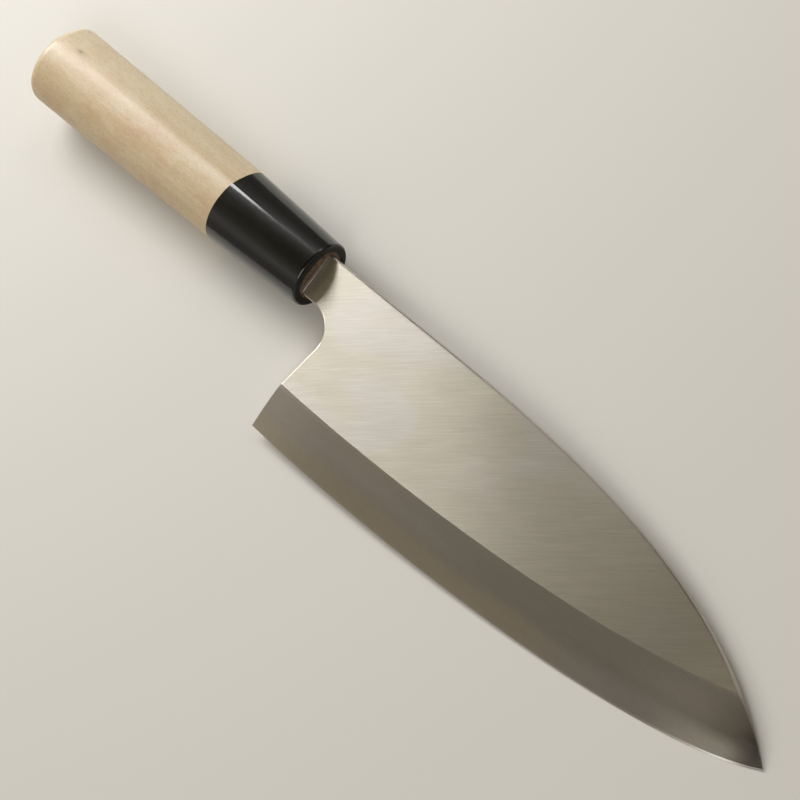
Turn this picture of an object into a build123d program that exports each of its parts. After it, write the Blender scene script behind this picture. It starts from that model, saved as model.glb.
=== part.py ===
from build123d import *
import os
from math import cos, radians, sin, sqrt, tan

# A single-bevel fish knife of Japanese form, lying on its hollow back, in millimetres.
# The knife's own axes: x runs from the ferrule's front face to the tip, y from the edge to the spine,
# and z from the hollow back to the ground front. The axis of the handle is y = 0, z = 0.

# Blade outline
blade_length = 180.0        # heel corner to tip
blade_height = 54.8         # spine to heel corner
heel_ahead = 11.9           # heel corner ahead of the ferrule's front face
spine_rise = 7.0            # spine above the handle's axis
neck_height = 14.5          # spine to the neck's underside
tip_drop = 32.2             # spine to tip
heel_lean = 7.2             # degrees that the heel's end leans back towards the handle
choil_radius = 9.3          # finger notch between neck and heel

# Shares of the blade's length that shape the two long curves, and their directions at the ends in degrees
spine_start_share = 0.24    # straight spine ahead of the heel
spine_lead_share = 0.40
spine_end_share = 0.19
spine_tip_angle = 40.6
edge_lead_share = 0.26
edge_end_share = 0.19
edge_heel_angle = -1.5
edge_tip_angle = 32.2

# Blade thickness and grind
neck_thickness = 6.6
tip_thickness = 2.9         # of the flat front if it ran on to the tip
front_fall = 0.9            # how much thinner the flat front is at the bevel line than at the spine
bevel_width_heel = 15.8     # edge to bevel line, at the heel
bevel_width_tip = 18.9      # the same, run on to the tip
bevel_crown = 0.22          # how far the bevel bulges over a flat one
edge_land = 0.1             # blunt thickness of the edge itself
micro_bevel_width = 0.5
micro_bevel_angle = 32.0
hollow_depth = 0.45         # depth of the hollow ground back
rim_at_edge = 2.2           # flat left beside the hollow, along the edge
rim_at_spine = 3.6          # along the spine
core_thickness = 2.6        # hard steel layer that makes the back and the edge, at the heel
core_tip_thickness = 1.3
weld_start = 7.5            # where the hard layer begins on the back, ahead of the ferrule
corner_break = 0.5          # rounding of the spine, neck and choil corners

# Tang
neck_start = 0.3            # full neck, clear of the ferrule's front face
shoulder_depth = 3.0        # filed shoulder let into the wood before the tang steps in
shoulder_filing = 0.1       # how much the shoulder is filed down all round to fit
shoulder_step = 0.8
tang_length = 96.0          # into the handle, from the ferrule's front face
tang_end_height = 6.0
tang_end_thickness = 3.0
tang_slot_gap = 0.15
slot_end_gap = 2.0
seal_gap = 0.4              # resin round the neck

# Handle
handle_length = 135.0
butt_height = 29.4
butt_front_depth = 12.0     # from the axis to the ridged front
butt_back_depth = 11.8
butt_round = 4.0
joint_height = 26.2         # where wood meets ferrule
joint_front_depth = 11.0
joint_back_depth = 10.8

# Ferrule
ferrule_length = 40.0
nose_height = 22.2
nose_front_depth = 9.3
nose_back_depth = 9.3
nose_round = 1.0
bore_height = 16.8
bore_depth = 6.5            # half the bore's width
bore_gap = 0.05             # glue line between wood and horn
core_recess = 0.3           # wood set back from the ferrule's front face

# Half sections as shares of the half height and the depth, from the spine side down, as curve handles
ridged_shares = ((1, 0), (1, 0.34), (0.61, 0.70), (0.38, 0.855), (-0.19, 1.15), (-1, 0.80), (-1, 0))
oval_shares = ((1, 0), (1, 0.405), (0.755, 0.771), (0.38, 0.925), (-0.278, 1.195), (-1, 0.711), (-1, 0))
back_shares = ((-1, 0), (-1, -0.552), (-0.552, -1), (0, -1), (0.552, -1), (1, -0.552), (1, 0))
full_shares = ((-1, 0), (-1, -0.70), (-0.70, -1), (0, -1), (0.70, -1), (1, -0.70), (1, 0))

# Places along the edge where the bevel and the hollow are set out, as shares of its curve
bevel_shares = (0, 0.15, 0.3, 0.45, 0.6, 0.72, 0.82, 0.91, 1)
hollow_shares = (0.16, 0.32, 0.48, 0.64, 0.79)
hollow_end_shares = (0, 0.93)    # where the wheel has lifted clear of the back, as shares of the blade's length

# How the knife lies on a table
rest_share = 0.934          # share of the edge curve that touches the table, under the centre of gravity

overrun = 5.0               # how far cutters pass the surfaces that they cut
bevel_past_share = 1.2      # how far the bevel cutter runs on past the bevel line
wheel_reach_share = 1.25    # how far the hollow's wheel reaches past its rims
hollow_lift = 0.2           # how far it has lifted off the back past the hollow's ends
halvings = 40               # steps in finding a place on a curve


back_z = -neck_thickness / 2
heel_y = spine_rise - blade_height
tip_x = heel_ahead + blade_length
tip_y = spine_rise - tip_drop
neck_y = spine_rise - neck_height


def toward(angle):
    """Unit direction in the blade's plane, from the angle to the knife's axis."""
    return Vector(cos(radians(angle)), sin(radians(angle)))


def spine_curve():
    """Falling part of the spine, from its straight stretch to the tip."""
    start = Vector(heel_ahead + spine_start_share * blade_length, spine_rise)
    tip = Vector(tip_x, tip_y)
    lead = start + toward(0) * spine_lead_share * blade_length
    end = tip - toward(-spine_tip_angle) * spine_end_share * blade_length
    return Bezier(start, lead, end, tip)


def edge_curve():
    """The cutting edge, from the heel corner to the tip."""
    heel = Vector(heel_ahead, heel_y)
    tip = Vector(tip_x, tip_y)
    lead = heel + toward(edge_heel_angle) * edge_lead_share * blade_length
    end = tip - toward(edge_tip_angle) * edge_end_share * blade_length
    return Bezier(heel, lead, end, tip)


def blade_outline():
    """Face of the blade and neck, drawn on the plane of the back."""
    spine = spine_curve()
    edge = edge_curve()
    heel_top_x = heel_ahead + (neck_y - heel_y) * tan(radians(heel_lean))
    corner = Vector(heel_top_x, neck_y)
    reach = choil_radius / tan(radians(90 - heel_lean) / 2)
    notch_start = corner - toward(0) * reach
    notch_end = corner + toward(-90 - heel_lean) * reach
    neck_end = Vector(neck_start, neck_y)
    neck_top = Vector(neck_start, spine_rise)
    sides = [
        spine,
        edge,
        Line(edge @ 0, notch_end),
        RadiusArc(notch_end, notch_start, -choil_radius),
        Line(notch_start, neck_end),
        Line(neck_end, neck_top),
        Line(neck_top, spine @ 0),
    ]
    return make_face(sides)


def front_height(x, y):
    """Height of the flat ground front over the knife's axis plane."""
    taper = (neck_thickness - tip_thickness) / tip_x
    fall = front_fall / (blade_height - bevel_width_heel)
    return back_z + neck_thickness - taper * x - fall * (spine_rise - y)


def front_cutter():
    """Everything over the flat ground front, which thins towards the tip and towards the bevel."""
    origin = Vector(0, spine_rise, front_height(0, spine_rise))
    along = Vector(tip_x, spine_rise, front_height(tip_x, spine_rise)) - origin
    across = origin - Vector(0, neck_y, front_height(0, neck_y))
    plane = Plane(origin=origin, x_dir=along, z_dir=along.cross(across))
    size = 2 * (blade_length + blade_height)
    return plane * Box(size, size, neck_thickness, align=(Align.CENTER, Align.CENTER, Align.MIN))


def bevel_section(point, share):
    """What the bevel grind takes away at one place along the edge."""
    width = bevel_width_heel + (bevel_width_tip - bevel_width_heel) * share ** 3
    top_y = point.Y + width
    land = Vector(point.X, point.Y, back_z + edge_land)
    rise = micro_bevel_width * tan(radians(micro_bevel_angle))
    micro = land + Vector(0, micro_bevel_width, rise)
    top = Vector(point.X, top_y, front_height(point.X, top_y))
    chord = top - micro
    bulge = Vector(0, 0, 4 * bevel_crown)
    handle = micro + (chord + bulge) * (bevel_past_share / 2)
    past = micro + chord * bevel_past_share - bulge * bevel_past_share * (bevel_past_share - 1)
    above = front_height(0, spine_rise) + overrun
    low = land + (land - micro) * (overrun / micro_bevel_width)
    high = Vector(point.X, low.Y, above)
    over = Vector(point.X, past.Y, above)
    return Face(Wire([
        Line(low, micro),
        Bezier(micro, handle, past),
        Line(past, over),
        Line(over, high),
        Line(high, low),
    ]))


def bevel_cutter():
    """The crowned bevel and its fine micro bevel, lofted along the edge and run on past both ends."""
    edge = edge_curve()
    before = edge @ 0 - (edge % 0) * overrun
    after = edge @ 1 + (edge % 1) * overrun
    sections = [bevel_section(before, 0)]
    sections += [bevel_section(edge @ share, share) for share in bevel_shares]
    sections += [bevel_section(after, 1)]
    return loft(sections)


def height_at(curve, x):
    """Height of a blade curve at the given place along the knife, found by halving."""
    low, high = 0, 1
    for _ in range(halvings):
        middle = (low + high) / 2
        if (curve @ middle).X < x:
            low = middle
        else:
            high = middle
    return (curve @ low).Y


def spine_height(x):
    if x < (spine_curve() @ 0).X:
        return spine_rise
    return height_at(spine_curve(), x)


def hollow_section(share, lift):
    """The grinding wheel's arc across the back at one place, closed by its chord below the back."""
    x = heel_ahead + share * blade_length
    low = height_at(edge_curve(), x) + rim_at_edge
    high = spine_height(x) - rim_at_spine
    widest = (blade_height - rim_at_edge - rim_at_spine) / 2
    half = (high - low) / 2
    depth = -lift if lift else hollow_depth * (half / widest) ** 2
    reach = widest * wheel_reach_share
    drop = hollow_depth * wheel_reach_share ** 2
    top = Vector(x, (low + high) / 2, back_z + depth)
    left = top - Vector(0, reach, drop)
    right = top + Vector(0, reach, -drop)
    return Face(Wire([ThreePointArc(left, top, right), Line(right, left)]))


def hollow_cutter():
    """The wheel's path along the back, down to the steel at the heel and up again before the tip."""
    first, last = hollow_end_shares
    sections = [hollow_section(first, hollow_lift)]
    sections += [hollow_section(share, 0) for share in hollow_shares]
    sections += [hollow_section(last, hollow_lift)]
    return loft(sections)


def soften_front(body):
    """Rounds the front's corners along spine, neck, finger notch and heel, but not along the edge."""
    front = body.faces().filter_by(GeomType.PLANE).sort_by(Axis.Z)[-1]
    edges = front.edges().sort_by(SortBy.LENGTH)[:-1]
    edges = edges.sort_by(Axis.X)[1:]
    return fillet(edges, corner_break)


def make_blade():
    """Whole blade and neck, ground and hollowed, before it is parted into its two steels."""
    body = extrude(Pos(0, 0, back_z) * blade_outline(), neck_thickness)
    body -= front_cutter()
    body = soften_front(body)
    body -= bevel_cutter()
    return body - hollow_cutter()


def hard_layer():
    """Space of the hard steel: a layer over the whole back that starts at a slanted weld on the neck."""
    length = tip_x + overrun
    low = back_z - overrun
    side = make_face(Polyline(
        (weld_start - overrun, low),
        (length, low),
        (length, back_z + core_tip_thickness),
        (weld_start + core_thickness, back_z + core_thickness),
        close=True,
    ))
    sheet = Plane(origin=(0, spine_rise + overrun, 0), x_dir=(1, 0, 0), z_dir=(0, -1, 0)) * side
    return extrude(sheet, blade_height + 2 * overrun, dir=(0, -1, 0))


def half_section(shares, x, half_height, depth):
    """Two curves of a handle section, from named shares."""
    points = [Vector(x, y * half_height, z * depth) for y, z in shares]
    return [Bezier(*points[0:4]), Bezier(*points[3:7])]


def handle_section(front_shares, x, height, front_depth, back_depth):
    """Closed section across the handle: the front as given by the shares, the back oval."""
    front = half_section(front_shares, x, height / 2, front_depth)
    back = half_section(back_shares, x, height / 2, back_depth)
    return Face(Wire(front + back))


def bore_solid(start, end, gap):
    """Full oval prism along the axis, for the bore of the ferrule and the wood that fills it."""
    half = bore_height / 2 - gap
    depth = bore_depth - gap
    back = half_section(full_shares, start, half, depth)
    front = half_section([(-y, -z) for y, z in full_shares], start, half, depth)
    return extrude(Face(Wire(front + back)), end - start, dir=(1, 0, 0))


def neck_prism(offset, start, end):
    """Rounded bar round the line of the neck, wider than the neck by the offset on every side."""
    centre = spine_rise - neck_height / 2
    section = RectangleRounded(neck_height + 2 * offset, neck_thickness + 2 * offset,
                               corner_break + max(offset, 0))
    face = Plane(origin=(start, centre, 0), x_dir=(0, 1, 0), z_dir=(1, 0, 0)) * section
    return extrude(face, end - start, dir=(1, 0, 0))


def tang_section(x, y, height, thickness, gap):
    section = Rectangle(height + 2 * gap, thickness + 2 * gap)
    return Plane(origin=(x, y, 0), x_dir=(0, 1, 0), z_dir=(1, 0, 0)) * section


def tang_solid(gap, end_gap):
    """Tapered tang, or with a gap the slot that is burnt into the wood for it."""
    centre = spine_rise - neck_height / 2
    root = tang_section(-shoulder_depth, centre, neck_height - 2 * shoulder_step,
                        neck_thickness - 2 * shoulder_step, gap)
    end = tang_section(-tang_length - end_gap, 0, tang_end_height, tang_end_thickness, gap)
    return loft([root.face(), end.face()])


def shoulder():
    """Part of the neck that is filed down to enter the wood."""
    return neck_prism(-shoulder_filing, -shoulder_depth, neck_start)


def neck_recess():
    """Rounded mouth in the wood that the neck and its resin fill."""
    return neck_prism(seal_gap, -shoulder_depth, -core_recess)


def make_ferrule():
    """Horn sleeve: ridged like the wood where it meets it, plain oval at the nose."""
    rear = handle_section(ridged_shares, -ferrule_length, joint_height, joint_front_depth, joint_back_depth)
    nose = handle_section(oval_shares, 0, nose_height, nose_front_depth, nose_back_depth)
    body = loft([rear, nose])
    front_edges = body.faces().sort_by(Axis.X)[-1].edges()
    body = fillet(front_edges, nose_round)
    return body - bore_solid(-ferrule_length - overrun, overrun, 0)


def make_handle():
    """Wooden grip with its ridge and rounded butt, and the tenon that carries the ferrule."""
    butt = handle_section(ridged_shares, -handle_length, butt_height, butt_front_depth, butt_back_depth)
    joint = handle_section(ridged_shares, -ferrule_length, joint_height, joint_front_depth, joint_back_depth)
    grip = loft([butt, joint])
    butt_edges = grip.faces().sort_by(Axis.X)[0].edges()
    grip = fillet(butt_edges, butt_round)
    body = grip + bore_solid(-ferrule_length, -core_recess, bore_gap)
    body -= tang_solid(tang_slot_gap, slot_end_gap)
    return body - neck_recess()


def table_plane():
    """Table under the knife: it holds the edge's tangent and touches the handle's back at the joint."""
    edge = edge_curve()
    touch = Vector((edge @ rest_share).X, (edge @ rest_share).Y, back_z)
    along = edge % rest_share
    inward = Vector(-along.Y, along.X, 0)
    away = (Vector(-ferrule_length, 0, back_z) - touch).dot(inward)
    half = joint_height / 2 * along.X
    drop = joint_back_depth ** 2 - back_z ** 2
    spread = away ** 2 - half ** 2
    slope = (back_z * away + sqrt((back_z * away) ** 2 + spread * drop)) / spread
    up = (Vector(0, 0, 1) + inward * slope).normalized()
    forward = Vector(1, 0, 0) - up * up.X
    return Plane(origin=touch, x_dir=forward, z_dir=up)


def laid_down(pieces):
    """Pieces on the table, with the middle of the space that they take up over the origin."""
    table = table_plane().location.inverse()
    moved = {name: table * piece for name, piece in pieces.items()}
    box = Compound(list(moved.values())).bounding_box()
    centre = box.center()
    shift = Location(Vector(-centre.X, -centre.Y, -box.min.Z))
    return {name: shift * piece for name, piece in moved.items()}


def main():
    os.makedirs("parts", exist_ok=True)
    blade = make_blade()
    layer = hard_layer()
    pieces = {
        "edge_steel": blade & layer,
        "cladding_and_tang": blade - layer + shoulder() + tang_solid(0, 0),
        "ferrule": make_ferrule(),
        "handle_body": make_handle(),
        "tang_seal": neck_recess() - shoulder(),
    }
    for name, piece in laid_down(pieces).items():
        export_step(piece, f"parts/{name}.step")


main()
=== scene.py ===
# %% [markdown]
# This lesson dresses a deba, the heavy Japanese knife for fish, ground on one side for the right hand.
# Its solids were made to size beforehand and come in as a fixed frame, so nothing here changes their size.
# The work is in the surfaces: two steels, pale magnolia wood, black horn and a little resin.

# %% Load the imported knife
from math import acos, asin, atan2, cos, degrees, pi, radians, sin

import bmesh
import bpy
from mathutils import Matrix, Vector


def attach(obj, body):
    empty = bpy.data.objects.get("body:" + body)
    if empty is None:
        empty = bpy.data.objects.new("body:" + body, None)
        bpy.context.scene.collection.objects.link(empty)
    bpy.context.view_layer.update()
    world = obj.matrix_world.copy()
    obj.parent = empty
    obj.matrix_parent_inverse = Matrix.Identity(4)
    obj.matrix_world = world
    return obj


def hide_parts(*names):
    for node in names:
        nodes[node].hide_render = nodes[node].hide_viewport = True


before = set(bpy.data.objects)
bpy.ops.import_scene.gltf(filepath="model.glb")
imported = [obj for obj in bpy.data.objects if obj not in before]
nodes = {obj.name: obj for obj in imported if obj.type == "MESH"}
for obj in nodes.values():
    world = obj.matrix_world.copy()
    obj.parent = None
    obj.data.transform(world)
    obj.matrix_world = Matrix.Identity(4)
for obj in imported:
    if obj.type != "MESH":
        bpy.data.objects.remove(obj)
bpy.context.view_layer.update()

MM = 0.001

# %% [markdown]
# The knife lies on its back with its tip on the table, so its own axes lean a little against the table's.
# Patterns and rules are easiest to think about on the knife itself: x along it from the ferrule to the tip,
# y from the edge to the spine, z out of the ground front, all in millimetres.

# %% The knife's own axes
knife_origin = Vector((-28.284, 16.508, 9.818)) * MM    # middle of the ferrule's front face
knife_lean = radians(3.860)                             # over its length
knife_dip = radians(1.420)                              # nose down
knife_turn = Matrix.Rotation(knife_dip, 3, "Y") @ Matrix.Rotation(knife_lean, 3, "X")
length_direction = knife_turn @ Vector((1, 0, 0))
front_normal = Vector((0.04394, -0.09030, 0.99494))     # of the flat ground front, on the table's axes
BACK_PLANE = -3.3                                       # mm from the axis to the flat rim of the back
blade_tip = Vector((191.9, -25.2, BACK_PLANE))          # mm, on the knife's own axes


def on_knife(point):
    """A place of the scene on the knife's own axes, in millimetres."""
    return knife_turn.transposed() @ (point - knife_origin) / MM


def on_table(place):
    """A place on the knife's own axes, in millimetres, as a point of the scene."""
    return knife_origin + knife_turn @ place * MM


print("tip of the knife on the table:", [round(v, 4) for v in on_table(blade_tip)])

# %% [markdown]
# The bevel of such a blade is stoned by hand, and a stone leaves it gently crowned, not flat. The solids come
# as a few long triangles, and triangles that long guess the direction of a crowned face differently on each
# side of the weld between the two steels, so a light would break there. Making the mesh finer would only
# repeat the guess. So each steel gets a copy of its solid, with the same points, whose shading normals follow
# the rule of the stone: the face tilts less and less from the heel to the tip, and from the edge upwards.

# %% The rule of the stone
edge_line = ((0.0, 47.8), (11.9, 47.8), (41.2, 47.8), (67.2, 46.9), (91.9, 45.3), (115.5, 43.15),
             (137.9, 40.15), (159.4, 36.2), (179.9, 30.8), (191.9, 25.2), (200, 20.6))   # mm below the axis
# the rule counts steps of 100 mm along from the ferrule, and of 10 mm above the edge
EDGE_SLOPE = (0.413, -0.145, 0.009)     # of the edge: to start with, per step along, per step squared
CROWN = (0.081, -0.012)                 # what a step above takes off it: to start with, per step along
TIP_TURN = (0.004, 0.018, 0.0022)       # turn to the tip: to start with, per step, per step to the fourth


def height_above_edge(x, y):
    """Millimetres above the cutting edge of a place on the blade."""
    for (x0, y0), (x1, y1) in zip(edge_line, edge_line[1:]):
        if x <= x1:
            break
    return y + y0 + (y1 - y0) * (x - x0) / (x1 - x0)


def stoned_normal(place):
    """Direction of the crowned bevel at a place given on the knife's own axes."""
    along, above = place.x / 100, height_above_edge(place.x, place.y) / 10
    slope = EDGE_SLOPE[0] + EDGE_SLOPE[1] * along + EDGE_SLOPE[2] * along ** 2
    slope -= (CROWN[0] + CROWN[1] * along) * above
    toward_tip = TIP_TURN[0] + TIP_TURN[1] * along + TIP_TURN[2] * along ** 4
    return Vector((toward_tip, -slope, 1)).normalized()


for x in (20, 100, 180):
    print("bevel's direction near the edge,", x, "mm along:",
          [round(v, 3) for v in stoned_normal(Vector((x, -45, 0)))])

# %% Copying a solid with its shading
MERGE_DISTANCE = 0.001 * MM     # corners of loose triangles this close are one point


def merged_copy(node_name):
    """A solid's shape with its loose triangles merged, and the layer that keeps its shading normals."""
    source = nodes[node_name].data
    given = [corner.vector.copy() for corner in source.corner_normals]
    shape = bmesh.new()
    shape.from_mesh(source)
    kept = shape.loops.layers.float_vector.new("kept_normal")
    corners = (corner for face in shape.faces for corner in face.loops)
    for corner, normal in zip(corners, given):
        corner[kept] = normal
    bmesh.ops.remove_doubles(shape, verts=shape.verts, dist=MERGE_DISTANCE)
    return shape, kept


def stand_in(shape, node_name, piece_name):
    """Make the piece that takes a solid's place, with the normals that its corners keep."""
    mesh = bpy.data.meshes.new(piece_name)
    shape.to_mesh(mesh)
    shape.free()
    mesh.normals_split_custom_set([item.vector[:] for item in mesh.attributes["kept_normal"].data])
    mesh.attributes.remove(mesh.attributes["kept_normal"])
    piece = bpy.data.objects.new(piece_name, mesh)
    bpy.context.collection.objects.link(piece)
    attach(piece, "root")
    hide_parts(node_name)
    print(piece_name, "has", len(mesh.polygons), "triangles")
    return piece


print("triangles as packed:", {name: len(node.data.polygons) for name, node in sorted(nodes.items())})

# %% A copy of each steel with true shading
SAME_WAY = 0.9998                # cosine within which a triangle belongs to the flat front
BEVEL_RANGE = (0.90, 0.9965)     # cosines to the flat front that the bevel's triangles have
EDGEWARD = 0.06                  # how far a bevel's triangle leans towards the edge, at the least


def ground_copy(node_name, piece_name):
    """Copy a blade solid and correct its shading on the ground front."""
    shape, kept = merged_copy(node_name)
    bevel_faces = {face for face in shape.faces
                   if BEVEL_RANGE[0] < face.normal.dot(front_normal) < BEVEL_RANGE[1]
                   and -(knife_turn.transposed() @ face.normal).y > EDGEWARD}
    bevel_points = {point for face in bevel_faces for point in face.verts}
    corrected = 0
    for face in shape.faces:
        toward_front = face.normal.dot(front_normal)
        in_weld = BEVEL_RANGE[1] < toward_front < SAME_WAY
        for corner in face.loops:
            if toward_front > SAME_WAY:
                corner[kept] = front_normal
            elif face in bevel_faces or in_weld and corner.vert in bevel_points:
                corner[kept] = knife_turn @ stoned_normal(on_knife(corner.vert.co))
                corrected += 1
    print(piece_name, "has", corrected, "corners set by the rule")
    return stand_in(shape, node_name, piece_name)


hard_edge = ground_copy("edge_steel", "hard_steel_layer")
iron_body = ground_copy("cladding_and_tang", "soft_iron_body")

# %% [markdown]
# The grip has a ridge along its front, for the fingers to feel which way the edge lies. The solid has it as a
# crease of about eight degrees. On the real grip it is sanded over, widest near the butt, where it shows as a
# soft band of light and not as a line. Sanding takes off less than a tenth of a millimetre, so the shape
# stays and only its shading turns: the copy is cut along both borders of the sanded band and twice inside
# it, and across the band the normals turn evenly from one side of the ridge to the other.

# %% Where the ridge is sanded
JOINT, BUTT = -40.0, -135.0     # mm along the knife
ridge_height = (4.98, 5.59)     # mm from the axis to the ridge, at the joint and at the butt
band_half = (1.2, 4.2)          # mm, half the width of the sanded band there


def between_ends(x, ends):
    """A measure that changes evenly from the joint to the butt."""
    return ends[0] + (ends[1] - ends[0]) * (x - JOINT) / (BUTT - JOINT)


def band_share(place):
    """How far across the sanded band a place lies: -1 at its lower border, 1 at its upper one."""
    return (place.y - between_ends(place.x, ridge_height)) / between_ends(place.x, band_half)


print("the band is", 2 * band_half[0], "mm wide at the joint and", 2 * band_half[1], "mm at the butt")

# %% Cut the grip along the band
shape, kept = merged_copy("handle_body")
for share in (-1, -0.5, 0.5, 1):
    start, end = (Vector((x, between_ends(x, ridge_height) + share * between_ends(x, band_half), 0))
                  for x in (JOINT, BUTT))
    bmesh.ops.bisect_plane(shape, geom=shape.verts[:] + shape.edges[:] + shape.faces[:],
                           dist=0.1 * MERGE_DISTANCE, plane_co=on_table(start),
                           plane_no=knife_turn @ (end - start).cross(Vector((0, 0, 1))).normalized())
bmesh.ops.triangulate(shape, faces=shape.faces[:])
print("the grip has", len(shape.faces), "triangles after the cuts")

# %% Turn the light evenly across the band
FRONT_SIDE = 7.0            # mm above the axis: only the grip's front side lies higher
ROUNDING = -133.5           # mm along the knife, where the butt begins to round off
END_FACE = 0.5              # a normal that points further along the knife belongs to an end face
ON_BORDER = 0.01            # share of the band within which a corner is on its border

band = []
border_tilts = {-1: [], 1: []}
for face in shape.faces:
    for corner in face.loops:
        place = on_knife(corner.vert.co)
        share = band_share(place)
        way = (knife_turn.transposed() @ corner[kept]).normalized()
        on_front = place.z > FRONT_SIDE and place.x > ROUNDING and way.x < END_FACE
        if on_front and abs(share) < 1 + ON_BORDER:
            band.append((corner, share, way))
            if abs(share) > 1 - ON_BORDER:
                border_tilts[round(share)].append(atan2(way.y, way.z))
lower_tilt, upper_tilt = (sum(tilts) / len(tilts) for tilts in (border_tilts[-1], border_tilts[1]))
for corner, share, way in band:
    if abs(share) < 1 - ON_BORDER:
        tilt = lower_tilt + (upper_tilt - lower_tilt) * (share + 1) / 2
        level = (way.y ** 2 + way.z ** 2) ** 0.5
        corner[kept] = knife_turn @ Vector((way.x, level * sin(tilt), level * cos(tilt)))
print("the band turns from", round(degrees(lower_tilt), 1), "to", round(degrees(upper_tilt), 1),
      "degrees over", len(band), "corners")
grip = stand_in(shape, "handle_body", "sanded_grip")

# %% [markdown]
# A colour is written as it is picked from a screen, in hex. Blender works in linear light, so one function
# turns it round. A second one adds a shader node with its settings and links and gives the socket that comes
# out of it, so a material reads from top to bottom with the nodes' own names. Inputs are given in the node's
# order, or picked by name or number: Mix has a pair for each kind of value, 2 and 3 for numbers, 4 and 5 for
# vectors, 6 and 7 for colours.

# %% Colour and node helpers
SOFT = {"interpolation_type": "SMOOTHSTEP"}     # for a Map Range that starts and ends gently
COLOURS = {"data_type": "RGBA"}                 # for a Mix of two colours


def colour(hex_code):
    """Linear RGBA of an sRGB hex code."""
    parts = [int(hex_code[i:i + 2], 16) / 255 for i in (0, 2, 4)]
    return [p / 12.92 if p <= 0.04045 else ((p + 0.055) / 1.055) ** 2.4 for p in parts] + [1.0]


def add(tree, kind, inputs=(), out=None, stops=(), points=(), **settings):
    """Add a shader node and return its first socket in use, or the one that out names.

    Inputs are numbers, hex colours or the sockets that feed them. Stops fill a ramp and points a curve.
    """
    made = tree.nodes.new("ShaderNode" + kind)
    for name, value in settings.items():
        setattr(made, name, value)
    for key, value in inputs.items() if isinstance(inputs, dict) else enumerate(inputs):
        if isinstance(value, bpy.types.NodeSocket):
            tree.links.new(value, made.inputs[key])
        else:
            made.inputs[key].default_value = colour(value) if isinstance(value, str) else value
    if stops:
        elements = made.color_ramp.elements
        while len(elements) < len(stops):
            elements.new(0.5)
        for element, (place, code) in zip(elements, stops):
            element.position = place
            element.color = colour(code) if isinstance(code, str) else [code] * 3 + [1]
    if points:
        line = made.mapping.curves[0]
        while len(line.points) < len(points):
            line.points.new(0.5, 0.5)
        for point, (across, up) in zip(line.points, points):
            point.location = (across, up)
        made.mapping.update()
    return made.outputs[out] if out else next((socket for socket in made.outputs if socket.enabled), None)


print("middle grey, 808080, is", round(colour("808080")[0], 3), "in linear light")

# %% [markdown]
# Every material here measures in the knife's own millimetres. They come from the Object coordinates, which
# go with the object, so a pattern keeps its place however the knife is turned.

# %% Start a material, and put it on a piece


def material(name):
    """A new material, its tree, its shader and a socket with the knife's own millimetres."""
    made = bpy.data.materials.new(name)
    made.use_nodes = True
    tree = made.node_tree
    tree.nodes.clear()
    shader = add(tree, "BsdfPrincipled").node
    add(tree, "OutputMaterial", {"Surface": shader.outputs[0]})
    mm = add(tree, "Mapping", {
        "Vector": add(tree, "TexCoord", out="Object"),
        "Location": knife_origin,
        "Rotation": (knife_lean, knife_dip, 0),
        "Scale": (MM, MM, MM),
    }, vector_type="TEXTURE")
    return made, tree, shader, mm


def dress(piece, made):
    """Give a piece one material in all its slots."""
    if not piece.material_slots:
        piece.data.materials.append(made)
    for slot in piece.material_slots:
        slot.material = made
    print(piece.name, "wears", made.name, "with", len(made.node_tree.nodes), "nodes")


print("one unit of a pattern is", MM, "m on the knife")

# %% [markdown]
# Grinding, brushing, sawing and growing all leave patterns drawn out along one direction. One helper makes
# them: a noise whose unit is so many millimetres long and so many wide, turned to lie along that direction.
# A second helper lightens and darkens a colour by such patterns.

# %% Drawn-out patterns
PATTERN_RANGE = (0.3, 0.7)      # a noise hardly ever leaves this range


def grain(tree, mm, run, width, angle=0.0, detail=3.0, roughness=0.5, warp=0.0):
    """A noise socket drawn out along the knife, or at an angle to it on the blade's face."""
    turned = add(tree, "Mapping", {"Vector": mm, "Rotation": (0, 0, angle), "Scale": (run, width, width)},
                 vector_type="TEXTURE")
    return add(tree, "TexNoise", {"Vector": turned, "Scale": 1.0, "Detail": detail,
                                  "Roughness": roughness, "Distortion": warp})


def shaded(tree, base, *shares):
    """Multiply a colour by shares: sockets, or patterns with the two factors that their range becomes."""
    for share in shares:
        if isinstance(share, tuple):
            pattern, dark, light = share
            share = add(tree, "MapRange", (pattern, *PATTERN_RANGE, dark, light))
        base = add(tree, "VectorMath", {0: base, "Scale": share}, operation="SCALE")
    return base


print("patterns are read from", PATTERN_RANGE[0], "to", PATTERN_RANGE[1])

# %% [markdown]
# A blade has places that are finished differently, and a finish ends where the surface turns. So the
# material asks which way the surface faces, and how far above the edge it lies. The same few lines serve
# both steels, because the stone and the belt cross the weld without stopping.

# %% Places on a blade
BLADE_SPAN = 200.0                  # mm along the knife that the edge line covers
FLAT_COSINES = (0.9970, 0.9990)     # to the flat front, where the bevel ends and the flat begins
SIDE_COSINES = (0.90, 0.86)         # where the spine's rounded corners begin
BACK_COSINES = (-0.60, -0.85)       # where the back begins
RIM_END, HOLLOW_START = 0.01, 0.05  # mm above the back's plane


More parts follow.
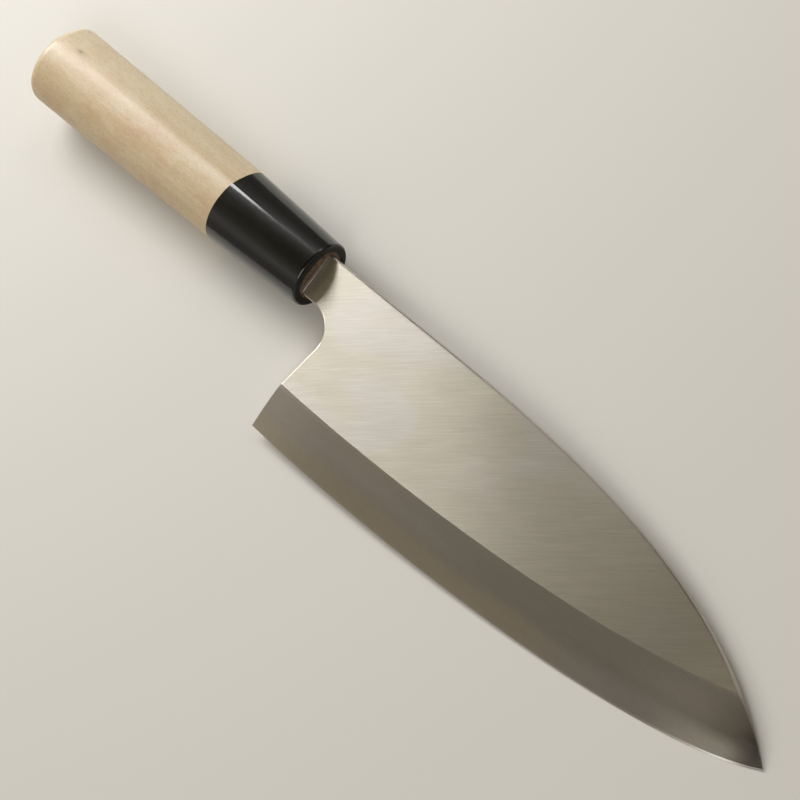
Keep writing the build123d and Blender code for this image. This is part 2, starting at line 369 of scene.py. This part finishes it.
def blade_places(tree, mm):
    """Sockets: millimetres above the edge and along, and how much a place is flat, side, back or its rim."""
    along, height, depth = add(tree, "SeparateXYZ", (mm,)).node.outputs
    share = add(tree, "Math", (along, BLADE_SPAN), operation="DIVIDE")
    edge = add(tree, "FloatCurve", {"Value": share},
               points=[(x / BLADE_SPAN, y / BLADE_SPAN) for x, y in edge_line])
    facing = add(tree, "NewGeometry", out="Normal")
    front = add(tree, "VectorMath", (facing, front_normal), operation="DOT_PRODUCT")
    return {
        "above": add(tree, "Math", (edge, BLADE_SPAN, height), operation="MULTIPLY_ADD"),
        "along": along,
        "facing": facing,
        "flat": add(tree, "MapRange", (front, *FLAT_COSINES, 0, 1)),
        "side": add(tree, "MapRange", (front, *SIDE_COSINES, 0, 1)),
        "back": add(tree, "MapRange", (front, *BACK_COSINES, 0, 1)),
        "rim": add(tree, "MapRange", (depth, BACK_PLANE + RIM_END, BACK_PLANE + HOLLOW_START, 1, 0)),
    }


print("the bevel's finish ends", round(degrees(acos(FLAT_COSINES[0])), 1), "degrees off the flat")

# %% [markdown]
# The flat upper front is brushed on a belt in fine slanting lines. The bevel is stoned to a finer, duller
# grey, and the back is ground hollow on a wheel, with lines from the edge to the spine. All of them could be
# pictures laid on the blade. Noise drawn out along each tool's way is chosen, because it never repeats and
# needs no seams.

# %% What belt, stone and wheel leave
brush_angle = radians(36.6)     # of the belt's lines to the knife's length
brush_direction = knife_turn @ Vector((cos(brush_angle), sin(brush_angle), 0))


def ground_marks(tree, mm):
    """Sockets with the patterns on a ground blade, each so many millimetres long and wide."""
    # real lines are 0.05 to 0.1 mm wide, and those of belt, stone and wheel are drawn 0.3 mm wide to show
    return {
        "belt": grain(tree, mm, 11, 0.30, brush_angle, roughness=0.6),
        "stray": grain(tree, mm, 20, 0.75, brush_angle + radians(3), roughness=0.6),    # deeper scratches
        "stone": grain(tree, mm, 5, 0.28, radians(-3), roughness=0.6),
        "wheel": grain(tree, mm, 22, 0.30, radians(84), detail=4.0, roughness=0.6),
        "smudge": grain(tree, mm, 24, 15, brush_angle, warp=0.6),       # left by a wiping cloth
        "haze": grain(tree, mm, 40, 7, detail=2.0),                     # how evenly the stone bore
        "film": grain(tree, mm, 40, 24, detail=1.0, warp=0.8),          # of oil
        "wave": grain(tree, mm, 34, 22, brush_angle, detail=1.0),       # of a flat ground by hand
    }


print("the belt ran at", round(degrees(brush_angle), 1), "degrees to the knife")

# %% [markdown]
# The hard steel takes the stone less than the iron and shows as a band along the edge, warm at the heel and
# cooler towards the nose, with a border that wanders as the weld does. The rest of the bevel's shades are
# painted light and shade: painted darker on the iron from the middle of the blade on, a painted glow round
# the nose that is brightest along its edge, painted shade at the very tip, and painted light at the heel and
# along the upper line. Each of these is a stretch of the blade, in millimetres, with a share or a factor at
# each end.

# %% Colour of the bevel
LINE_RISE = 0.0172              # mm that the bevel's upper line draws away from the edge per mm along


def bevel_colour(tree, places, marks):
    """The stoned bevel, with the hard steel's band and painted light and shade along it."""
    above, along = places["above"], places["along"]
    wander = add(tree, "MapRange", (marks["haze"], *PATTERN_RANGE, -1.6, 1.6))
    border = add(tree, "Math", (above, wander), operation="ADD")
    hard = add(tree, "MapRange", (border, 3.2, 8.5, 1, 0), **SOFT)
    # painted shade: the iron's bevel is painted darker from the middle of the blade on
    painted_darker_iron = add(tree, "MapRange", (along, 50, 115, 0, 1), **SOFT)
    iron = add(tree, "Mix", {0: painted_darker_iron, 6: "C6BFB6", 7: "B7B0A7"}, **COLOURS)
    cooler = add(tree, "MapRange", (along, 115, 150, 0, 1), **SOFT)
    band = add(tree, "Mix", {0: cooler, 6: "CBC1B0", 7: "C6C1BB"}, **COLOURS)
    base = add(tree, "Mix", {0: hard, 6: iron, 7: band}, **COLOURS)

    # painted light: the nose is painted brighter, and most so along its edge
    painted_glow_on_edge = add(tree, "MapRange", (along, 155, 181, 1, 1.95), **SOFT)
    painted_glow_on_iron = add(tree, "MapRange", (along, 142, 170, 1, 1.30), **SOFT)
    painted_glow_on_iron = add(tree, "MapRange", (along, 170, 184, painted_glow_on_iron, 0.85), **SOFT)
    edge_or_iron = add(tree, "MapRange", (border, 2, 7.5, 0, 1))
    nose = add(tree, "Mix", {0: edge_or_iron, 2: painted_glow_on_edge, 3: painted_glow_on_iron})
    # painted shade: the very tip is painted darker
    tip = add(tree, "MapRange", (along, 180, 189, 1, 0.28), **SOFT)
    # painted light at the heel and along the upper line, and a painted highlight just below that line
    heel = add(tree, "MapRange", (along, 14, 42, 1.13, 1), **SOFT)
    upper = add(tree, "MapRange", (above, 6.5, 11, 1, 1.07), **SOFT)
    to_line = add(tree, "Math", (along, -LINE_RISE, above), operation="MULTIPLY_ADD")
    painted_highlight_below_line = add(tree, "MapRange", (to_line, 13.6, 15.3, 1, 1.15), **SOFT)
    return shaded(tree, base, (marks["stone"], 0.93, 1.05), (marks["haze"], 0.97, 1.03),
                  nose, tip, painted_highlight_below_line, heel, upper)


print("the bevel grows", round(LINE_RISE * 100, 2), "mm taller in 100 mm along")

# %% [markdown]
# A film of oil tinges the flat in patches, and the flat is painted darker towards the nose as painted shade.
# On the back the rim is flatted on a stone, and the hollow keeps the wheel's lines.

# %% Colours of the flat and the back
PAINTED_SHADE_SPAN = (100, 172)              # mm along the knife over which the flat is painted darker, as painted shade


def flat_colour(tree, places, marks, flat):
    """The belt-brushed upper front, painted darker towards the nose as painted shade."""
    oily = add(tree, "MapRange", (marks["film"], 0.40, 0.60, 0, 1), **SOFT)
    oiled = add(tree, "Mix", {0: oily, 6: flat, 7: "D3CDBE"}, **COLOURS)
    # painted shade: the flat is painted darker towards the nose
    painted_shade_to_nose = add(tree, "MapRange", (places["along"], *PAINTED_SHADE_SPAN, 0, 1), **SOFT)
    base = add(tree, "Mix", {0: painted_shade_to_nose, 6: oiled, 7: "B2AB99"}, **COLOURS)
    return shaded(tree, base, (marks["belt"], 0.91, 1.065), (marks["stray"], 0.965, 1.02),
                  (marks["smudge"], 0.97, 1.02))


def back_colour(tree, places, marks):
    """The wheel-ground hollow and its flat rim."""
    base = add(tree, "Mix", {0: places["rim"], 6: "BBB3A8", 7: "D3CCC2"}, **COLOURS)
    return shaded(tree, base, (marks["wheel"], 0.84, 1.08), (marks["smudge"], 0.93, 1.04))


# the span over which the flat is painted darker as painted shade
print("the belt is eased off from", PAINTED_SHADE_SPAN[0], "to", PAINTED_SHADE_SPAN[1], "mm along")

# %% [markdown]
# Brushed lines act as thousands of tiny mirrors turned about one direction, so a lamp's reflection smears
# across them and stays narrow along them. That is why the lit part of the blade ends in a soft straight
# border. The shader does the same with Anisotropic and a tangent at right angles to the lines. The spine
# and its rounded corners are rubbed by hand to an even satin and catch a thin line of light. A flat ground by
# hand waves by a hundredth of a millimetre, so the border of its glow wanders a little.

# %% Gloss and relief of the ground steel
# heights that a pattern would have if it used its whole range from 0 to 1
WAVE = 0.02 * MM
SCRATCH = 0.004 * MM


def steel_roughness(tree, places, marks):
    """How much each place of the blade blurs what it mirrors."""
    flat = add(tree, "MapRange", (marks["belt"], *PATTERN_RANGE, 0.275, 0.295))
    bevel = add(tree, "MapRange", (marks["stone"], *PATTERN_RANGE, 0.36, 0.44))
    back = add(tree, "MapRange", (places["rim"], 0, 1, 0.40, 0.22))
    rough = add(tree, "Mix", {0: places["flat"], 2: bevel, 3: flat})
    rough = add(tree, "Mix", {0: places["side"], 2: rough, 3: 0.38})
    return add(tree, "Mix", {0: places["back"], 2: rough, 3: back})


def across_lines(tree, places):
    """The tangent across the lines of each place."""
    lines = add(tree, "Mix", {0: places["flat"], 4: length_direction, 5: brush_direction},
                data_type="VECTOR")
    return add(tree, "VectorMath", (places["facing"], lines), operation="CROSS_PRODUCT")


def steel_relief(tree, places, marks):
    """The flat's slow waves with the scratches on them."""
    height = add(tree, "Math", (marks["wave"], places["flat"]), operation="MULTIPLY")
    waved = add(tree, "Bump", {"Height": height, "Strength": 1.0, "Distance": WAVE})
    scratches = add(tree, "Mix", {0: places["flat"], 2: marks["stone"], 3: marks["belt"]})
    return add(tree, "Bump", {"Height": scratches, "Strength": 0.10, "Distance": SCRATCH, "Normal": waved})


print("waves", round((PATTERN_RANGE[1] - PATTERN_RANGE[0]) * WAVE / MM, 3), "mm high")

# %% [markdown]
# Both steels wear the same recipe, because the tools went over both at once. The iron is polished paler on
# its flat. A recipe for each could drift apart at the weld, and one function can't.

# %% Dress the two steels


def ground_steel(name, flat):
    """Belt-brushed, stoned and wheel-ground steel, in the colour of its flat."""
    made, tree, shader, mm = material(name)
    places, marks = blade_places(tree, mm), ground_marks(tree, mm)
    front = add(tree, "Mix", {0: places["flat"], 6: bevel_colour(tree, places, marks),
                              7: flat_colour(tree, places, marks, flat)}, **COLOURS)
    base = add(tree, "Mix", {0: places["back"], 6: front, 7: back_colour(tree, places, marks)}, **COLOURS)
    tree.links.new(base, shader.inputs["Base Color"])
    tree.links.new(steel_roughness(tree, places, marks), shader.inputs["Roughness"])
    tree.links.new(across_lines(tree, places), shader.inputs["Tangent"])
    tree.links.new(steel_relief(tree, places, marks), shader.inputs["Normal"])
    shader.inputs["Metallic"].default_value = 1.0
    shader.inputs["Anisotropic"].default_value = 1.0
    return made


dress(hard_edge, ground_steel("stoned_hard_carbon_steel", "C8C1B6"))
dress(iron_body, ground_steel("belt_brushed_soft_iron", "D6D0C8"))

# %% [markdown]
# The grip is magnolia, a light, even, straight-grained wood that stays dry in the hand. It is sanded and
# left bare, so it has a low satin sheen. Its growth rings are wide and faint. Its fibres and pores are under
# 0.1 mm wide, too small to see one by one, and are drawn about half a millimetre wide here so that they show
# at all. The rings are drawn as shells round a far pith, so that one pattern gives long lines on the sides
# and arcs on the butt, as in real wood.

# %% Magnolia's grain and rings
made, tree, shader, mm = material("sanded_magnolia")
RING = 2.6                      # mm from one growth ring to the next
pith = Vector((0, -58, 30))     # mm, where the tree's heart lay
sway = grain(tree, mm, 90, 9, detail=2.0)
fibre = grain(tree, mm, 6, 0.40, detail=4.0, roughness=0.65)
streak = grain(tree, mm, 60, 2.6, detail=2.0)
mottle = grain(tree, mm, 14, 7, roughness=0.6, warp=0.4)
pore = grain(tree, mm, 1.9, 0.50, detail=2.0)
fleck = grain(tree, mm, 0.9, 0.60, detail=2.0)

from_pith = add(tree, "Mapping", {"Vector": mm, "Location": -pith, "Scale": (0.035, 1, 1)})
radius = add(tree, "VectorMath", (from_pith,), operation="LENGTH")
swayed = add(tree, "Math", (sway, 2.2, radius), operation="MULTIPLY_ADD")
year = add(tree, "Math", (swayed, RING), operation="DIVIDE")
season = add(tree, "Math", (year,), operation="FRACT")
ring = add(tree, "ValToRGB", {"Fac": season},
           stops=((0.0, 0.97), (0.12, 1.0), (0.72, 1.0), (0.94, 0.972), (1.0, 0.97)))
print("rings every", RING, "mm,", round(pith.length), "mm from the tree's heart")

# %% Magnolia's colour along the grain
along, up_flank, _ = add(tree, "SeparateXYZ", (mm,)).node.outputs
streaked = add(tree, "MapRange", (streak, 0.35, 0.65, 0, 1))
base = add(tree, "Mix", {0: streaked, 6: "C9B38E", 7: "CFBB99"}, **COLOURS)
browner = add(tree, "MapRange", (mottle, 0.40, 0.68, 0, 0.85))
base = add(tree, "Mix", {0: browner, 6: base, 7: "C3A580"}, **COLOURS)
# painted sheen: the flank above the ridge is painted paler where the light from the spine's side falls
painted_sheen_on_flank = add(tree, "MapRange", (up_flank, 5.0, 9.5, 0, 0.42), **SOFT)
base = add(tree, "Mix", {0: painted_sheen_on_flank, 6: base, 7: "DCCFB4"}, **COLOURS)
in_pore = add(tree, "MapRange", (pore, 0.55, 0.72, 1, 0.86))
base = shaded(tree, base, (fibre, 0.91, 1.05), (sway, 0.97, 1.02), in_pore, (fleck, 0.93, 1.05), ring)

# a pin knot near the butt: a dark speck in a grey-green smudge drawn out along the fibres
knot_place = Vector((-121.5, 7.0, 9.5))     # mm
from_knot = add(tree, "Mapping", {"Vector": mm, "Location": knot_place, "Scale": (2.4, 1.1, 1.1)},
                vector_type="TEXTURE")
knot = add(tree, "VectorMath", (from_knot,), operation="LENGTH")
knot_ragged = add(tree, "Math", (fibre, 1.2, knot), operation="MULTIPLY_ADD")
for radii, strength, tone in (((1.0, 2.3), 0.55, "A89A7C"), ((0.75, 1.25), 0.7, "6E5F48")):
    share = add(tree, "MapRange", (knot_ragged, *radii, strength, 0), **SOFT)
    base = add(tree, "Mix", {0: share, 6: base, 7: tone}, **COLOURS)
print("knot", round(knot_place.x - BUTT, 1), "mm from the butt")

# %% [markdown]
# End grain drinks light, so the butt is darker, with pores as dots and rings as arcs. The tenon's end, seen
# in the ferrule's mouth, is stained brown by the resin and the hot tang that was driven in.

# %% Magnolia's end grain and stain
STAIN = (-6, -3)                # mm along the knife over which the stain sets in
facing = add(tree, "NewGeometry", out="Normal")
endways = add(tree, "VectorMath", (facing, -length_direction), operation="DOT_PRODUCT")
end_grain = add(tree, "MapRange", (endways, 0.25, 0.90, 0, 1), **SOFT)
dots = add(tree, "TexVoronoi", {"Vector": mm, "Scale": 2.6})    # per mm, fewer and wider than real pores
in_dot = add(tree, "MapRange", (dots, 0.10, 0.30, 0.80, 1))
end_ring = add(tree, "ValToRGB", {"Fac": season},
               stops=((0.0, 0.88), (0.15, 1.0), (0.6, 0.985), (0.9, 0.88), (1.0, 0.87)))
cloudy = add(tree, "MapRange", (mottle, 0.35, 0.65, 0, 1))
end_base = add(tree, "Mix", {0: cloudy, 6: "B39D7A", 7: "BEAB88"}, **COLOURS)
end_base = shaded(tree, end_base, end_ring, in_dot)
base = add(tree, "Mix", {0: end_grain, 6: base, 7: end_base}, **COLOURS)

mouth = add(tree, "MapRange", (along, *STAIN, 0, 1))
burnt = add(tree, "MapRange", (grain(tree, mm, 2, 1.1), 0.4, 0.62, 0, 1))
scorch = add(tree, "Mix", {0: burnt, 6: "6E5639", 7: "3E2B1A"}, **COLOURS)
base = add(tree, "Mix", {0: mouth, 6: base, 7: scorch}, **COLOURS)
tree.links.new(base, shader.inputs["Base Color"])
print("stained from", STAIN[0], "mm on, and end grain on the butt")

# %% Magnolia's sheen
satin = add(tree, "MapRange", (fibre, *PATTERN_RANGE, 0.37, 0.47))
rough = add(tree, "Mix", {0: end_grain, 2: satin, 3: 0.70})
tree.links.new(rough, shader.inputs["Roughness"])
shader.inputs["Specular IOR Level"].default_value = 0.60
raised = add(tree, "Math", (fibre, pore), operation="SUBTRACT")
relief = add(tree, "Bump", {"Height": raised, "Strength": 0.5, "Distance": 0.03 * MM})
tree.links.new(relief, shader.inputs["Normal"])
dress(grip, made)

# %% [markdown]
# The ferrule is black water-buffalo horn, turned, shaped with the wood and polished. Horn is keratin with
# an IOR near 1.54. It is nearly black, with a few paler threads along its length. Its polish lies over a
# slightly coarser grain, so a lamp shows as a sharp line in a soft halo: the shader's coat gives the line,
# and its own rougher reflection gives the halo. The sawn end is only scraped smooth, so it has hardly any
# coat. The marks of the polishing cloth run round the ferrule, finer than the 0.35 mm drawn here.

# %% Polished horn
KERATIN_IOR = 1.54
made, tree, shader, mm = material("polished_black_horn")
thread = grain(tree, mm, 30, 0.9)
cloud = grain(tree, mm, 24, 8, detail=2.0)
wiping = grain(tree, mm, 9, 0.35, radians(70), detail=2.0)
in_thread = add(tree, "MapRange", (thread, 0.58, 0.80, 0, 0.8))
base = add(tree, "Mix", {0: in_thread, 6: "070806", 7: "24211A"}, **COLOURS)
in_cloud = add(tree, "MapRange", (cloud, 0.50, 0.75, 0, 0.5))
base = add(tree, "Mix", {0: in_cloud, 6: base, 7: "12110C"}, **COLOURS)
tree.links.new(base, shader.inputs["Base Color"])

facing = add(tree, "NewGeometry", out="Normal")
noseways = add(tree, "VectorMath", (facing, length_direction), operation="DOT_PRODUCT")
end_face = add(tree, "MapRange", (noseways, 0.8, 0.97, 0, 1))
tree.links.new(add(tree, "MapRange", (end_face, 0, 1, 0.85, 0.10)), shader.inputs["Coat Weight"])
polish = add(tree, "MapRange", (wiping, *PATTERN_RANGE, 0.21, 0.27))
tree.links.new(add(tree, "Mix", {0: end_face, 2: polish, 3: 0.42}), shader.inputs["Roughness"])
relief = add(tree, "Bump", {"Height": cloud, "Strength": 0.4, "Distance": 0.05 * MM})
tree.links.new(relief, shader.inputs["Normal"])
shader.inputs["IOR"].default_value = KERATIN_IOR
shader.inputs["Specular IOR Level"].default_value = 0.22
shader.inputs["Coat Roughness"].default_value = 0.09
dress(nodes["ferrule"], made)

# %% [markdown]
# A thin collar of resin seals the wood round the neck. It is poured warm and sets hard, so it is smooth,
# a little wavy, and the brown of dark amber. Real resin lets some light in, but a collar this thin over
# stained wood hides that, so two browns that swirl into each other are enough.

# %% Amber resin
AMBER_IOR = 1.54
made, tree, shader, mm = material("dark_amber_resin")
swirl = grain(tree, mm, 2.5, 1.2, warp=0.8)
paler = add(tree, "MapRange", (swirl, 0.35, 0.65, 0, 1))
base = add(tree, "Mix", {0: paler, 6: "40261A", 7: "74513A"}, **COLOURS)
tree.links.new(base, shader.inputs["Base Color"])
tree.links.new(add(tree, "MapRange", (swirl, *PATTERN_RANGE, 0.22, 0.36)), shader.inputs["Roughness"])
relief = add(tree, "Bump", {"Height": swirl, "Strength": 0.5, "Distance": 0.08 * MM})
tree.links.new(relief, shader.inputs["Normal"])
shader.inputs["IOR"].default_value = AMBER_IOR
dress(nodes["tang_seal"], made)

# %% [markdown]
# The photograph looks down on the ground front from the tip's side, turned so that the knife runs from the
# upper left to the lower right. The place, the turn and the lens were found by laying the knife's outline
# over the photograph's.

# %% Camera
lens_data = bpy.data.cameras.new("camera")
lens_data.sensor_width = 36.0       # mm
lens_data.lens = 77.33              # mm
lens_data.clip_end = 20.0           # m
camera = bpy.data.objects.new("camera", lens_data)
bpy.context.collection.objects.link(camera)
camera.location = Vector((262.337, 0.023, 438.304)) * MM
camera.rotation_euler = (radians(20.446), radians(21.693), radians(44.419))
bpy.context.scene.camera = camera
print("camera", [round(v, 3) for v in camera.location], "lens", round(lens_data.lens, 2))

# %% [markdown]
# The floor is a sheet of pale matt card, far wider than the knife, so that its edge stays out of the picture
# and shows only as a distant line when the camera is low.

# %% Floor
FLOOR_HALF = 3.0                # m from the middle to the edge
shape = bmesh.new()
bmesh.ops.create_grid(shape, x_segments=2, y_segments=2, size=FLOOR_HALF)
floor_mesh = bpy.data.meshes.new("floor")
shape.to_mesh(floor_mesh)
shape.free()
floor = bpy.data.objects.new("floor", floor_mesh)
bpy.context.collection.objects.link(floor)
made, tree, shader, mm = material("matt_card")
shader.inputs["Base Color"].default_value = colour("DAD7D0")
shader.inputs["Roughness"].default_value = 0.9
dress(floor, made)

# %% [markdown]
# In the photograph the light comes low over the handle, from behind and a little from the spine's side:
# the ferrule shades the neck, and the brushed flat glows next to the handle. One wide softbox behind the
# handle does both. Three weaker ones add what it leaves out: the line on the horn's ridge, the thin line on
# the corners of the spine, and some light on the lower side of the wood. The room is darkest overhead and
# lightest some 35 degrees above the horizon, which the steel mirrors as a slow fall from the heel to the tip.

# %% The room
world = bpy.data.worlds.new("studio")
world.use_nodes = True
tree = world.node_tree
tree.nodes.clear()
room_tones = ((0.0, "726F69"), (0.30, "807C76"), (0.50, "B0ACA5"), (0.60, "BAB5AD"), (0.72, "948D80"),
              (0.86, "615A42"), (0.96, "372E1A"))       # from the horizon, 0, to overhead, 1
view = add(tree, "TexCoord", out="Generated")
_, across, up = add(tree, "SeparateXYZ", (view,)).node.outputs
tone = add(tree, "ValToRGB", {"Fac": up}, stops=room_tones)
toward_spine = add(tree, "MapRange", (across, -1, 1, 1.32, 0.66))
add(tree, "OutputWorld", {"Surface": add(tree, "Background", {"Color": tone, "Strength": toward_spine})})
bpy.context.scene.world = world
bpy.context.scene.view_settings.view_transform = "Standard"
print("tones by degrees above the horizon:", [(round(degrees(asin(z))), code) for z, code in room_tones])

# %% The softboxes


def softbox(name, aim, direction, distance, size, brightness, along):
    """A flat lamp seen from a point in a direction, with its first side along another direction.

    Lengths are in metres, and brightness is on the scale on which a white card in full light is 1.
    """
    direction = Vector(direction).normalized()
    side = (Vector(along) - Vector(along).dot(direction) * direction).normalized()
    data = bpy.data.lights.new(name, "AREA")
    data.shape = "RECTANGLE"
    data.size, data.size_y = size
    data.energy = brightness * pi * size[0] * size[1]
    made = bpy.data.objects.new(name, data)
    made.matrix_world = Matrix.Translation(Vector(aim) + direction * distance) @ Matrix(
        (side, direction.cross(side), direction)).transposed().to_4x4()
    made.visible_camera = False
    bpy.context.collection.objects.link(made)
    print(name, "gives", round(data.energy, 2), "W from",
          [round(v, 2) for v in made.matrix_world.translation])


horn_joint = (-0.068, 0.016, 0.010)     # where the horn meets the wood
blade_middle = (0.04, 0.02, 0.0)
softbox("window_softbox", horn_joint, (-0.833, 0.170, 0.526), 0.85, (0.52, 0.26), 17.0,
        along=brush_direction)
softbox("ridge_softbox", horn_joint, (-0.590, 0.485, 0.645), 0.80, (0.15, 0.12), 13.0,
        along=(-0.80, -0.39, -0.46))
softbox("side_softbox", blade_middle, (-0.250, 0.720, 0.640), 0.90, (0.34, 0.16), 3.0, along=(1, 0, 0))
softbox("fill_softbox", (0, 0, 0), (0.450, -0.450, 0.770), 1.00, (0.45, 0.45), 3.4, along=(1, 0, 0))
